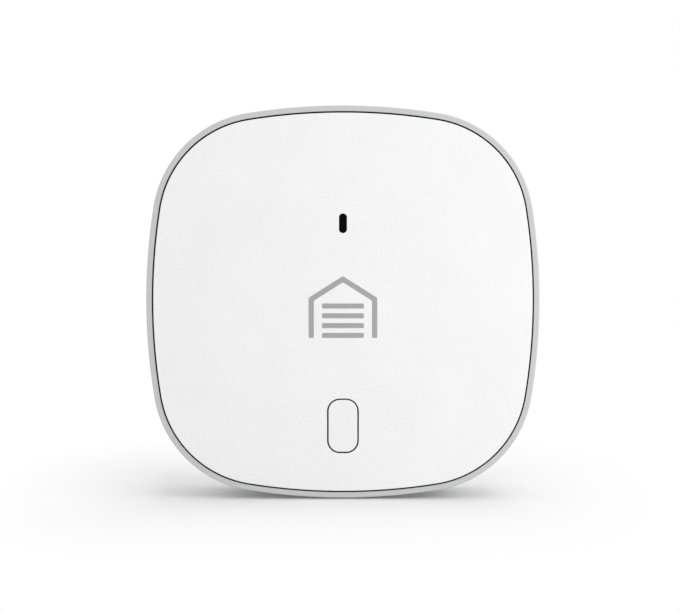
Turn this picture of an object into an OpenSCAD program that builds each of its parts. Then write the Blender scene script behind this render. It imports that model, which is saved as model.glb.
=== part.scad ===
// Garage door controller: a square hub with bowed sides that slides down onto a wall bracket.
// Sizes are in millimetres. Pieces are drawn with the wall at z = 0 and the face towards +z,
// then stood upright with the face towards -y.

/* [Hub] */
// Width and height of the hub
body_size = 94; // [91:0.5:104]
// Depth from the wall to the face
body_depth = 27; // [26:0.5:34]
// Half of the angle that each bowed side spans, in degrees
bow_a = 9.2171; // [8.6:0.0001:10]
// Distance of each corner arc's centre from both middle lines
corner_c = 18.544; // [17.5:0.001:20]
// Wall thickness of the rim and the rear cover
wall_t = 2.2; // [1.8:0.1:2.6]
// Radius of the rolled edge round the back
roll_r = 8.5; // [7.5:0.25:9.5]
// Space between the wall and the rear cover
wall_gap = 0.5; // [0.3:0.1:0.8]
// Chamfer on both sides of the seam round the hub
seam_edge = 0.25; // [0.1:0.05:0.4]

/* [Face] */
// Width of the rim that shows round the face
rim_w = 1.34; // [1.1:0.02:1.7]
// Radius on the rim's front edge
rim_edge = 0.3; // [0.2:0.05:0.6]
// Gap between the rim and the face
gap_w = 0.38; // [0.25:0.01:0.5]
// Thickness of the face plate
face_t = 2; // [1.6:0.1:2.4]
// Height of the face above the rim
face_proud = 0.3; // [0.1:0.05:0.6]
// Radius on the edge of the face plate
face_edge = 0.15; // [0.1:0.05:0.4]
// Thickness of the seal under the face plate
seal_t = 0.6; // [0.4:0.1:0.9]
// Thickness of the ledge that carries the seal
ledge_t = 1.6; // [1.2:0.1:2]

/* [Setup button] */
// Width of the button's cap
button_w = 6.9; // [6:0.1:8]
// Height of the button's cap
button_h = 12.5; // [10:0.1:13.5]
// Corner radius of the cap
button_r = 2.7; // [1.6:0.1:2.9]
// Radius on the cap's front edge
button_edge = 0.2; // [0.15:0.05:0.5]
// Gap round the cap
button_gap = 0.36; // [0.24:0.02:0.45]
// Distance of the button below the middle
button_low = 29.6; // [28:0.1:31]
// Travel of the button
button_travel = 0.5; // [0.3:0.05:0.6]

/* [Status light] */
// Width of the window
window_w = 1.9; // [1.5:0.1:2.6]
// Height of the window
window_h = 4.7; // [3.6:0.1:6]
// Distance of the window above the middle
window_up = 19; // [17:0.1:21]

/* [Circuit board] */
// Thickness of the board
board_t = 1.6; // [1.2:0.1:2]
// Space between the face plate and the board
board_room = 6.5; // [6.2:0.1:7.2]
// Height of the buzzer
buzzer_h = 8; // [6:0.5:8.5]
// Height of the capacitor cans
can_h = 7.2; // [5:0.2:8]

/* [Power socket] */
// Width of the recess for the plug
port_w = 12.4; // [11:0.2:14]
// Height of the recess for the plug
port_h = 7; // [6:0.2:7.6]
// Depth of the recess for the plug
port_deep = 2.2; // [1.6:0.1:2.6]
// Width of the socket's shell
socket_w = 7.5; // [7:0.1:8]
// Height of the socket's shell
socket_h = 2.6; // [2.4:0.1:2.9]

/* [Wall bracket] */
// Width over the bracket's flanges
flange_w = 45.4; // [40:0.2:46]
// Reach of each flange behind the hub's lips
flange_reach = 2; // [1.5:0.1:3]
// Height of the bracket
bracket_h = 55.2; // [50:0.2:57]
// Distance of the bracket's top edge above the middle
bracket_up = 19.2; // [17:0.1:21]
// Thickness of the bracket
bracket_t = 3.3; // [3.1:0.1:3.6]
// Thickness of the bracket's flanges
flange_t = 1.25; // [1:0.05:1.4]
// Clearance between the bracket and the hub
slide_fit = 0.2; // [0.15:0.01:0.3]
// Distance between the two wall screw holes
wall_screw_pitch = 30; // [26:0.5:32]
// Diameter of the wall screw holes
wall_screw_d = 4.2; // [3.6:0.1:4.6]
// Length of the latch tongue
tongue_len = 25; // [22:0.5:27]
// Width of the latch tongue
tongue_w = 12; // [9:0.5:14]

/* [Screws] */
// Shank diameter of the rear screws
rear_screw_d = 2.8; // [2.5:0.1:3.2]
// Length of the rear screws under the head
rear_screw_len = 15; // [14:0.5:16]
// Shank diameter of the board screws
board_screw_d = 2.2; // [1.8:0.1:2.5]
// Length of the board screws under the head
board_screw_len = 5.6; // [5:0.1:6]

/* [Hidden] */
$fn = 96;
// Small fit between glued or pressed pieces
snug = 0.05;
// Overlap that merges one feature into the next
bond = 0.4;
// Reach of a cut past the face that it opens
cut = 1;
// Clearance on the diameter of a screw in its boss, and in a hole that it passes through
pilot_fit = 0.1;
pass_fit = 0.6;
// Outline: four bowed sides and four corners, each tangent to the next
half = body_size / 2;
side_c = corner_c / tan(bow_a) - corner_c;
side_r = half + side_c;
corner_r = side_r - corner_c / sin(bow_a);
band_w = 9;
// Levels through the depth
z_face = body_depth;
z_rim = z_face - face_proud;
z_plate = z_face - face_t;
z_ledge = z_plate - seal_t;
z_back = wall_gap;
z_seam = z_back + roll_r;
z_board = z_plate - board_room;
z_under = z_board - board_t;
tower_h = 11.5;
z_joint = z_back + tower_h;
// Face plate
face_in = rim_w + gap_w;
ledge_w = 2.2;
ledge_in = wall_t + ledge_w;
skirt_fit = 0.2;
skirt_in = ledge_in + skirt_fit;
skirt_t = 1.4;
skirt_h = 1.6;
seal_fit = 0.1;
// Rear cover
flat_band = 4.5;
roll_band = roll_r + flat_band;
core_edge = 1;
lip_fit = 0.1;
lip_in = wall_t + lip_fit;
lip_t = 1.4;
lip_h = 1.8;
lip_root = 3;
vent_n = 9;
vent_pitch = 2.8;
vent_w = 1.2;
vent_edge = 2.6;
label_size = [34, 11];
label_r = 1.5;
label_deep = 0.3;
label_down = 19;
// Rear screws, on the diagonals
rear_head_r = 2.6;
rear_head_h = 1.9;
rear_head_fit = 0.3;
rear_cross = [3, 1.2];
rear_bore_r = rear_head_r + rear_head_fit;
rear_bore_deep = 2.4;
rear_bore_edge = 0.6;
rear_tip_gap = 1;
tower_r = 3.8;
tower_at = corner_c + (corner_r - roll_r - rear_bore_r - rear_bore_edge) / sqrt(2);
z_rear_seat = z_back + rear_bore_deep;
// Circuit board
switch_size = 6;
board_edge = 2;
board_half = button_low + switch_size / 2 + board_edge;
board_fit = 0.6;
board_arm = tower_at - tower_r - board_fit;
board_screw_edge = 5.2;
board_screw_x = board_half - board_screw_edge;
board_screw_y = board_arm - board_screw_edge;
board_head_r = 2.3;
board_head_h = 1.5;
board_cross = [2.6, 0.9];
board_boss_r = 2.9;
board_tip_gap = 0.4;
// Setup button and its switch
cap_ring = 0.8 * button_r;
cap_flange = 1.4;
cap_flange_t = 1;
guide_fit = 0.25;
guide_t = 1.2;
guide_drop = 0.6;
flange_rest = 0.1;
z_flange = z_plate - flange_rest;
z_cap_foot = z_flange - cap_flange_t;
stem_r = 1.6;
stem_h = 0.5;
z_plunger = z_cap_foot - stem_h;
plunger_r = 1.75;
plunger_flange_r = 2.2;
switch_floor = 0.5;
switch_base_h = 3;
switch_cover_t = 0.3;
switch_fit = 0.2;
plunger_fit = 0.1;
leg_size = [1.2, 0.8, 0.2];
leg_y = 2.2;
dome_spare = 0.25;
dome_h = button_travel + dome_spare;
dome_t = 0.15;
// Status light
lens_fit = 0.03;
lens_flange = 1.2;
lens_flange_t = 0.9;
lens_sunk = 0.1;
z_lens = z_plate - lens_flange_t;
pipe_over = [1, 0.6];
pipe_w = window_w + pipe_over[0];
pipe_h = window_h + pipe_over[1];
pipe_r = 0.8;
pipe_gap = 0.15;
led_size = [1.6, 0.9, 0.7];
led_y = 1.3;
shroud_t = 1.3;
shroud_r = 1.6;
// Power socket, on the back of the board
socket_len = 5;
socket_t = 0.3;
socket_fit = 0.2;
socket_r = 0.7;
socket_ear = [1.6, 1.2, 0.3];
socket_plug = 1;
socket_mouth = 0.7;
socket_tongue_t = 0.6;
contact_size = [2.8, 0.3, 0.1];
contact_pitch = 0.65;
port_r = 2.4;
port_wall = 1.6;
port_side = 1.4;
port_edge = 1;
port_lip_gap = 0.5;
port_root = 1;
port_z = z_under - socket_h / 2;
port_floor = half - port_deep;
port_in = port_floor - port_wall;
tab_gap = 0.4;
tab_side = 3.5;
tab_w = socket_w + 2 * tab_side;
// Bracket and its pocket
neck_w = flange_w - 2 * flange_reach;
neck_t = bracket_t - flange_t;
bracket_low = bracket_up - bracket_h;
bracket_r = 4;
pocket_wall = 1.8;
pocket_stop = bracket_up + snug;
pocket_z = bracket_t + slide_fit;
lip_z = neck_t - slide_fit;
wall_sink = 1.9;
wall_head_r = wall_screw_d / 2 + wall_sink;
wall_screw_y = 4;
tongue_slot = 1.2;
tongue_t = 1.6;
tongue_z = 1.2;
bump_w = 8;
bump_l = 3.6;
bump_h = 0.7;
bump_top = 1;
bump_up = 7;
bump_y = bracket_low + bump_up;
notch_fit = 0.3;
ridge_n = 3;
ridge_pitch = 1.2;
ridge_h = 0.35;
// Places of the parts on the board
radio_at = [17, 0];
radio_size = [16, 24, 0.8];
shield_size = [14, 16, 2];
shield_t = 0.25;
shield_edge = 1;
antenna_size = [38, 0.4, 6];
antenna_foot = [3, 2, 0.4];
antenna_edge = 3;
antenna_y = board_half - antenna_edge;
buzzer_at = [0, 20];
buzzer_r = 6.1;
buzzer_wall = 0.8;
buzzer_step = 0.6;
buzzer_hole_r = 1;
disc_t = 0.4;
can_r = 3.15;
can_base_t = 0.8;
can_base_over = 0.2;
groove_w = 0.7;
groove_deep = 0.3;
groove_up = 1.8;
can_at = [[-24, -12], [-15, -12]];
coil_at = [-13, 4];
coil_size = [7, 7, 4];
regulator_at = [-24, 6];
regulator_size = [6.6, 3.6, 1.7];
regulator_leg = [0.8, 1.2, 0.25];
regulator_pitch = 2.2;
processor_at = [-2, -6];
processor_size = [9, 9, 0.9];
lead_size = [0.8, 0.4, 0.2];
lead_pitch = 0.9;
lead_n = 9;
memory_at = [14, -8];
memory_size = [6, 5, 0.9];
crystal_at = [-2, 4.5];
crystal_size = [3.2, 2.5, 0.8];
chip_size = [1.6, 0.8, 0.5];
chip_pitch = 2.5;
column_n = 6;
column_y = -14;
row_n = 4;
row_x = 9;
resistor_column_x = -20;
resistor_row_y = -15;
capacitor_column_x = -16.5;
capacitor_row_y = -1;

white = [0.94, 0.94, 0.95];
grey = [0.79, 0.79, 0.8];
black = [0.06, 0.06, 0.06];
steel = [0.72, 0.73, 0.75];
green = [0.05, 0.3, 0.16];
gold = [0.85, 0.68, 0.32];

// Stands the drawn pieces upright on the floor, centred from front to back
module stand() {
    translate([0, body_depth / 2, half]) rotate([90, 0, 0]) children();
}

// Sweeps a section round the hub's outline; its x is minus the distance in from the outline
module swept() {
    for (k = [0:3]) rotate(90 * k) {
        translate([-side_c, 0, 0])
            rotate_extrude(angle = 2 * bow_a, start = -bow_a)
                translate([side_r, 0]) children();
        translate([corner_c, corner_c, 0])
            rotate_extrude(angle = 90 - 2 * bow_a, start = bow_a)
                translate([corner_r, 0]) children();
    }
}

// Fills the middle of a swept piece, with its eight points at one distance in from the outline
module core(inset, z0, z1) {
    r = corner_r - inset;
    points = [for (k = [0:3]) for (a = [90 * k + bow_a, 90 * k + 90 - bow_a])
        [(k == 0 || k == 3 ? corner_c : -corner_c) + r * cos(a),
         (k < 2 ? corner_c : -corner_c) + r * sin(a)]];
    translate([0, 0, z0]) linear_extrude(z1 - z0) polygon(points);
}

// Rectangle with round corners, about the middle
module rounded(w, h, r) {
    square([w - 2 * r, h], center = true);
    square([w, h - 2 * r], center = true);
    for (x = [-1, 1], y = [-1, 1])
        translate([x * (w / 2 - r), y * (h / 2 - r)]) circle(r);
}

// Upright slot with fully round ends, about the middle
module stadium(w, h) {
    square([w, h - w], center = true);
    for (y = [-1, 1]) translate([0, y * (h - w) / 2]) circle(w / 2);
}

module prism(z0, z1) {
    translate([0, 0, z0]) linear_extrude(z1 - z0) children();
}

// Draws along +x from x0 to x1, with the flat shape's x along y and its y along z
module prism_x(x0, x1) {
    translate([x0, 0, 0]) rotate([90, 0, 90]) linear_extrude(x1 - x0) children();
}

// Block with its middle at a place on the board and its foot at z0
module chip(at, size, z0) {
    translate([at[0] - size[0] / 2, at[1] - size[1] / 2, z0]) cube(size);
}

module at_towers() {
    for (x = [-1, 1], y = [-1, 1]) translate([x * tower_at, y * tower_at, 0]) children();
}

module at_board_screws() {
    for (x = [-1, 1], y = [-1, 1])
        translate([x * board_screw_x, y * board_screw_y, 0]) children();
}

module at_button() {
    translate([0, -button_low, 0]) children();
}

module at_window() {
    translate([0, window_up, 0]) children();
}

// Cross recess in a screw head, cut upwards from z0
module cross_recess(z0, cross) {
    size = cross[0];
    for (a = [0, 90]) rotate(a)
        translate([-size / 2, -size / 8, z0 - cut]) cube([size, size / 4, cross[1] + cut]);
}

module face_plate() {
    color(white) stand() difference() {
        union() {
            swept() {
                translate([-face_in - band_w, z_plate]) square([band_w, face_t - face_edge]);
                translate([-face_in - band_w, z_plate]) square([band_w - face_edge, face_t]);
                translate([-face_in - face_edge, z_face - face_edge]) circle(face_edge);
            }
            core(face_in + band_w / 2, z_plate, z_face);
            swept() translate([-skirt_in - skirt_t, z_ledge - skirt_h])
                square([skirt_t, z_plate - z_ledge + skirt_h + bond]);
            at_towers() translate([0, 0, z_joint]) cylinder(r = tower_r, h = z_plate - z_joint + bond);
            at_board_screws() translate([0, 0, z_board])
                cylinder(r = board_boss_r, h = board_room + bond);
            at_button() prism(z_cap_foot - guide_drop, z_plate + bond)
                rounded(button_w + 2 * (cap_flange + guide_fit + guide_t),
                    button_h + 2 * (cap_flange + guide_fit + guide_t), button_r + guide_t);
        }
        at_button() prism(z_cap_foot - guide_drop - cut, z_plate)
            rounded(button_w + 2 * (cap_flange + guide_fit),
                button_h + 2 * (cap_flange + guide_fit), button_r);
        at_button() prism(z_plate - cut, z_face + cut)
            rounded(button_w + 2 * button_gap, button_h + 2 * button_gap, button_r + button_gap);
        at_window() prism(z_plate - cut, z_face + cut) stadium(window_w, window_h);
        at_towers() translate([0, 0, z_joint - cut]) cylinder(d = rear_screw_d + pilot_fit,
            h = z_rear_seat + rear_screw_len + rear_tip_gap - z_joint + cut);
        at_board_screws() translate([0, 0, z_board - cut]) cylinder(d = board_screw_d + pilot_fit,
            h = board_screw_len - board_t + board_tip_gap + cut);
    }
}

// Chamfer cut along the seam, above it for the rim and below it for the rear cover
module seam_cut(way) {
    translate([0, z_seam]) polygon([[cut, -way * cut], [-seam_edge - cut, -way * cut],
        [cut, way * (seam_edge + cut)]]);
}

module rim_housing() {
    color(grey) stand() difference() {
        union() {
            swept() difference() {
                union() {
                    translate([-wall_t, z_seam]) square([wall_t, z_ledge - z_seam]);
                    translate([-rim_w, z_seam]) square([rim_w, z_rim - rim_edge - z_seam]);
                    translate([-rim_w, z_seam]) square([rim_w - rim_edge, z_rim - z_seam]);
                    translate([-rim_edge, z_rim - rim_edge]) circle(rim_edge);
                    translate([-ledge_in, z_ledge - ledge_t]) square([ledge_in - bond, ledge_t]);
                }
                seam_cut(1);
            }
            translate([-half + port_root, -port_w / 2 - port_side, port_z - port_h / 2 - port_edge])
                cube([port_deep + port_wall - port_root, port_w + 2 * port_side,
                    port_h + 2 * port_edge]);
        }
        prism_x(-half - cut, -port_floor) translate([0, port_z]) rounded(port_w, port_h, port_r);
        prism_x(-half, -port_in + cut) translate([0, port_z])
            rounded(socket_w + 2 * socket_fit, socket_h + 2 * socket_fit, socket_r + socket_fit);
    }
}

module face_seal() {
    color(black) stand() swept() translate([-ledge_in + seal_fit, z_ledge])
        square([ledge_in - seal_fit - rim_w - snug, seal_t]);
}

// Section of the rolled edge, from the seam to the flat back; thick is the wall's thickness
module roll_section(thick) {
    intersection() {
        translate([-roll_r, z_seam]) difference() {
            circle(roll_r);
            if (thick < roll_r) circle(roll_r - thick);
        }
        translate([-roll_r, z_back]) square(roll_r);
    }
    translate([-roll_band, z_back]) square([roll_band - roll_r, thick]);
}

module rear_cover() {
    color(white) stand() difference() {
        union() {
            swept() difference() {
                roll_section(wall_t);
                seam_cut(-1);
            }
            core(roll_r + core_edge, z_back, z_back + wall_t);
            swept() translate([-lip_in - lip_t, z_seam - lip_root]) square([lip_t, lip_h + lip_root]);
            at_towers() translate([0, 0, z_back]) cylinder(r = tower_r, h = z_joint - z_back);
            intersection() {
                union() {
                    swept() roll_section(roll_r);
                    core(roll_r + core_edge, z_back, z_seam);
                }
                translate([-flange_w / 2 - slide_fit - pocket_wall, -half, z_back])
                    cube([flange_w + 2 * (slide_fit + pocket_wall), half + pocket_stop + pocket_wall,
                        pocket_z + pocket_wall - z_back]);
            }
        }
        translate([-neck_w / 2 - slide_fit, -half - cut, 0])
            cube([neck_w + 2 * slide_fit, half + cut + bracket_up - flange_reach + slide_fit, pocket_z]);
        translate([-flange_w / 2 - slide_fit, -half - cut, lip_z])
            cube([flange_w + 2 * slide_fit, half + cut + pocket_stop, pocket_z - lip_z]);
        translate([-bump_w / 2 - notch_fit, bump_y - bump_l / 2 - notch_fit, lip_z])
            cube([bump_w + 2 * notch_fit, bump_l + 2 * notch_fit, pocket_z + bump_h + notch_fit - lip_z]);
        at_towers() {
            translate([0, 0, z_back - cut]) cylinder(r = rear_bore_r, h = rear_bore_deep + cut);
            translate([0, 0, z_back]) cylinder(d = rear_screw_d + pass_fit, h = tower_h + cut);
        }
        for (i = [0:vent_n - 1])
            translate([(i - (vent_n - 1) / 2) * vent_pitch - vent_w / 2, half - roll_r, z_back + vent_edge])
                cube([vent_w, roll_r + cut, roll_r - 2 * vent_edge]);
        translate([0, half - label_down, 0]) prism(z_back - cut, z_back + label_deep)
            rounded(label_size[0], label_size[1], label_r);
        translate([-half, -port_w / 2 - port_side - port_lip_gap, z_seam])
            cube([port_deep + port_wall + cut, port_w + 2 * (port_side + port_lip_gap), lip_h + cut]);
    }
}

module rear_screws() {
    color(steel) stand() at_towers() difference() {
        union() {
            translate([0, 0, z_rear_seat - rear_head_h]) cylinder(r = rear_head_r, h = rear_head_h);
            translate([0, 0, z_rear_seat]) cylinder(d = rear_screw_d, h = rear_screw_len);
        }
        cross_recess(z_rear_seat - rear_head_h, rear_cross);
    }
}

module status_window() {
    color(black) stand() at_window() {
        prism(z_plate - snug, z_face - lens_sunk)
            stadium(window_w - 2 * lens_fit, window_h - 2 * lens_fit);
        prism(z_lens, z_plate)
            rounded(window_w + 2 * lens_flange, window_h + 2 * lens_flange, lens_flange);
    }
}

module light_pipe() {
    color([0.85, 0.9, 0.95]) stand() at_window() prism(z_board + led_size[2] + pipe_gap, z_lens)
        rounded(pipe_w, pipe_h, pipe_r);
}

module light_shroud() {
    color(black) stand() at_window() prism(z_board, z_lens) difference() {
        rounded(pipe_w + 2 * (shroud_t + snug), pipe_h + 2 * (shroud_t + snug), shroud_r);
        rounded(pipe_w + 2 * snug, pipe_h + 2 * snug, pipe_r);
    }
}

module status_leds() {
    color([0.95, 0.9, 0.6]) stand()
        for (y = [-1, 1]) chip([0, window_up + y * led_y], led_size, z_board);
}

// Sweeps a section round a rectangle with round corners, as swept() does round the hub
module swept_rect(w, h, r) {
    for (k = [0:3]) {
        x = (k == 0 || k == 3 ? 1 : -1) * (w / 2 - r);
        y = (k < 2 ? 1 : -1) * (h / 2 - r);
        run = (k % 2 == 0 ? h : w) - 2 * r;
        translate([x, y, 0]) {
            rotate_extrude(angle = 90, start = 90 * k) translate([r, 0]) children();
            rotate(90 * k) rotate([90, 0, 0]) linear_extrude(run) translate([r, 0]) children();
        }
    }
}

module setup_button() {
    color(white) stand() at_button() {
        swept_rect(button_w, button_h, button_r) {
            translate([-cap_ring, z_cap_foot]) square([cap_ring, z_face - z_cap_foot - button_edge]);
            translate([-cap_ring, z_cap_foot]) square([cap_ring - button_edge, z_face - z_cap_foot]);
            translate([-button_edge, z_face - button_edge]) circle(button_edge);
        }
        translate([-button_w / 2 + button_r / 2, -button_h / 2 + button_r / 2, z_cap_foot])
            cube([button_w - button_r, button_h - button_r, z_face - z_cap_foot]);
        prism(z_cap_foot, z_flange)
            rounded(button_w + 2 * cap_flange, button_h + 2 * cap_flange, button_r);
        translate([0, 0, z_plunger]) cylinder(r = stem_r, h = stem_h + bond);
    }
}

module switch_plunger() {
    z0 = z_board + switch_floor + dome_h + snug;
    z1 = z_board + switch_base_h - snug;
    color(black) stand() at_button() {
        translate([0, 0, z0]) cylinder(r = plunger_flange_r, h = z1 - z0);
        translate([0, 0, z0]) cylinder(r = plunger_r, h = z_plunger - z0);
    }
}

module switch_dome() {
    foot_r = plunger_flange_r;
    ball_r = (foot_r * foot_r + dome_h * dome_h) / (2 * dome_h);
    color(steel) stand() at_button() intersection() {
        translate([0, 0, z_board + switch_floor + dome_h - ball_r]) difference() {
            sphere(ball_r);
            sphere(ball_r - dome_t);
        }
        translate([0, 0, z_board + switch_floor]) cylinder(r = foot_r + switch_fit, h = dome_h + cut);
    }
}

module switch_base() {
    color(black) stand() at_button() difference() {
        chip([0, 0], [switch_size, switch_size, switch_base_h], z_board);
        translate([0, 0, z_board + switch_floor])
            cylinder(r = plunger_flange_r + switch_fit, h = switch_base_h);
    }
}

module switch_cover() {
    color(steel) stand() at_button() difference() {
        chip([0, 0], [switch_size, switch_size, switch_cover_t], z_board + switch_base_h);
        translate([0, 0, z_board]) cylinder(r = plunger_r + plunger_fit, h = switch_base_h + cut);
    }
}

module switch_legs() {
    color(steel) stand() at_button() for (x = [-1, 1], y = [-1, 1])
        chip([x * (switch_size + leg_size[0]) / 2, y * leg_y], leg_size, z_board);
}

module circuit_board() {
    color(green) stand() prism(z_under, z_board) difference() {
        union() {
            square([2 * board_half, 2 * board_arm], center = true);
            square([2 * board_arm, 2 * board_half], center = true);
            translate([-port_in + tab_gap, -tab_w / 2]) square([port_in - tab_gap, tab_w]);
        }
        at_board_screws() circle(d = board_screw_d + pass_fit);
    }
}

module board_screws() {
    color(steel) stand() at_board_screws() difference() {
        union() {
            translate([0, 0, z_under - board_head_h]) cylinder(r = board_head_r, h = board_head_h);
            translate([0, 0, z_under]) cylinder(d = board_screw_d, h = board_screw_len);
        }
        cross_recess(z_under - board_head_h, board_cross);
    }
}

module radio_board() {
    color(green) stand() chip(radio_at, radio_size, z_under - radio_size[2]);
}

module radio_shield() {
    z0 = z_under - radio_size[2] - shield_size[2];
    place = [radio_at[0], radio_at[1] - (radio_size[1] - shield_size[1]) / 2 + shield_edge];
    inside = [shield_size[0] - 2 * shield_t, shield_size[1] - 2 * shield_t, shield_size[2]];
    color(steel) stand() difference() {
        chip(place, shield_size, z0);
        chip(place, inside, z0 + shield_t);
    }
}

module antenna_strip() {
    color(gold) stand() {
        chip([0, antenna_y], antenna_size, z_under - antenna_size[2]);
        for (x = [-1, 1])
            chip([x * (antenna_size[0] - antenna_foot[0]) / 2, antenna_y + antenna_foot[1] / 2],
                antenna_foot, z_under - antenna_foot[2]);
    }
}

module buzzer_case() {
    color(black) stand() translate([buzzer_at[0], buzzer_at[1], z_under - buzzer_h]) difference() {
        cylinder(r = buzzer_r, h = buzzer_h);
        translate([0, 0, buzzer_wall]) cylinder(r = buzzer_r - buzzer_wall - buzzer_step, h = buzzer_h);
        translate([0, 0, buzzer_h / 2]) cylinder(r = buzzer_r - buzzer_wall, h = buzzer_h);
        translate([0, 0, -cut]) cylinder(r = buzzer_hole_r, h = buzzer_wall + 2 * cut);
    }
}

module buzzer_disc() {
    color(gold) stand() translate([buzzer_at[0], buzzer_at[1], z_under - buzzer_h / 2])
        cylinder(r = buzzer_r - buzzer_wall - snug, h = disc_t);
}

module socket_shell() {
    color(steel) stand() {
        prism_x(-port_floor, -port_floor + socket_len) translate([0, port_z]) difference() {
            rounded(socket_w, socket_h, socket_r);
            rounded(socket_w - 2 * socket_t, socket_h - 2 * socket_t, socket_r - socket_t);
        }
        for (y = [-1, 1])
            chip([-port_floor + socket_len - socket_ear[0] / 2,
                y * ((socket_w + socket_ear[1]) / 2 - socket_t)],
                socket_ear, z_under - socket_ear[2]);
    }
}

module socket_tongue() {
    color(black) stand() {
        prism_x(-port_floor + socket_len - socket_plug, -port_floor + socket_len) translate([0, port_z])
            rounded(socket_w - 2 * socket_t, socket_h - 2 * socket_t, socket_r - socket_t);
        translate([-port_floor + socket_mouth, -socket_w / 4, port_z])
            cube([socket_len - socket_mouth - bond, socket_w / 2, socket_tongue_t]);
    }
}

module socket_contacts() {
    color(gold) stand() for (i = [-2:2])
        chip([-port_floor + (socket_len - socket_plug + socket_mouth) / 2, i * contact_pitch], contact_size,
            port_z - contact_size[2]);
}

module capacitor_cans() {
    color(steel) stand() for (at = can_at)
        translate([at[0], at[1], z_under - can_h]) difference() {
            cylinder(r = can_r, h = can_h - can_base_t);
            translate([0, 0, can_h - can_base_t - groove_up]) difference() {
                cylinder(r = can_r + cut, h = groove_w);
                cylinder(r = can_r - groove_deep, h = groove_w);
            }
        }
}

module capacitor_bases() {
    side = 2 * (can_r + can_base_over);
    color(black) stand() for (at = can_at)
        chip(at, [side, side, can_base_t], z_under - can_base_t);
}

module coil_body() {
    color([0.25, 0.25, 0.27]) stand() chip(coil_at, coil_size, z_under - coil_size[2]);
}

module regulator_chip() {
    color(black) stand() {
        chip(regulator_at, regulator_size, z_under - regulator_size[2]);
        for (i = [-1:1])
            chip([regulator_at[0] + i * regulator_pitch,
                regulator_at[1] - (regulator_size[1] + regulator_leg[1]) / 2],
                regulator_leg, z_under - regulator_leg[2]);
    }
}

module processor_chip() {
    color(black) stand() chip(processor_at, processor_size, z_board);
}

module processor_leads() {
    reach = (processor_size[0] + lead_size[0]) / 2;
    color(steel) stand() translate([processor_at[0], processor_at[1], 0])
        for (k = [0:3], i = [0:lead_n - 1]) rotate(90 * k)
            chip([reach, (i - (lead_n - 1) / 2) * lead_pitch], lead_size, z_board);
}

module memory_chip() {
    color(black) stand() chip(memory_at, memory_size, z_board);
}

module crystal_can() {
    color(steel) stand() chip(crystal_at, crystal_size, z_board);
}

// Chips of one kind: a column up the board and a row across it
module chip_group(column_x, row_y) {
    for (i = [0:column_n - 1]) chip([column_x, column_y + i * chip_pitch], chip_size, z_board);
    for (i = [0:row_n - 1]) chip([row_x + i * chip_pitch, row_y], chip_size, z_board);
}

module chip_resistors() {
    color(black) stand() chip_group(resistor_column_x, resistor_row_y);
}

module chip_capacitors() {
    color([0.7, 0.58, 0.42]) stand() chip_group(capacitor_column_x, capacitor_row_y);
}

module bracket_plate() {
    color(white) stand() difference() {
        translate([0, bracket_up - bracket_h / 2, 0]) {
            prism(0, neck_t) rounded(neck_w, bracket_h - 2 * flange_reach, bracket_r - flange_reach);
            prism(neck_t, bracket_t) rounded(flange_w, bracket_h, bracket_r);
        }
        for (x = [-1, 1]) translate([x * wall_screw_pitch / 2, wall_screw_y, 0]) {
            translate([0, 0, -cut]) cylinder(d = wall_screw_d, h = bracket_t + 2 * cut);
            translate([0, 0, bracket_t - wall_sink])
                cylinder(r1 = wall_screw_d / 2, r2 = wall_head_r, h = wall_sink);
        }
        translate([-tongue_w / 2 - tongue_slot, bracket_low - cut, -cut])
            cube([tongue_w + 2 * tongue_slot, tongue_len + cut, bracket_t + 2 * cut]);
    }
}

module latch_tongue() {
    top = tongue_z + tongue_t;
    rise = pocket_z + bump_h;
    color(white) stand() {
        translate([-tongue_w / 2, bracket_low, tongue_z]) cube([tongue_w, tongue_len, tongue_t]);
        prism_x(-bump_w / 2, bump_w / 2)
            translate([bump_y, 0]) polygon([[-bump_l / 2, top - bond], [bump_l / 2, top - bond],
                [bump_l / 2, top], [bump_top / 2, rise], [-bump_top / 2, rise], [-bump_l / 2, top]]);
        for (i = [0:ridge_n - 1])
            translate([-bump_w / 2, bracket_low + (i + 0.5) * ridge_pitch, top - bond])
                cube([bump_w, ridge_pitch / 2, bond + ridge_h]);
    }
}

face_plate();
rim_housing();
face_seal();
rear_cover();
rear_screws();
status_window();
light_pipe();
light_shroud();
status_leds();
setup_button();
switch_plunger();
switch_dome();
switch_base();
switch_cover();
switch_legs();
circuit_board();
board_screws();
radio_board();
radio_shield();
antenna_strip();
buzzer_case();
buzzer_disc();
socket_shell();
socket_tongue();
socket_contacts();
capacitor_cans();
capacitor_bases();
coil_body();
regulator_chip();
processor_chip();
processor_leads();
memory_chip();
crystal_can();
chip_resistors();
chip_capacitors();
bracket_plate();
latch_tongue();
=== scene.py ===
"""Looks of a garage door controller, laid out as an add-on.

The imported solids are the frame. The hub's outer pieces and its wall bracket are modelled again with soft
edges, the face gets a small print, every piece gets its finish, and a stage shows the part.
"""
import math

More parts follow.
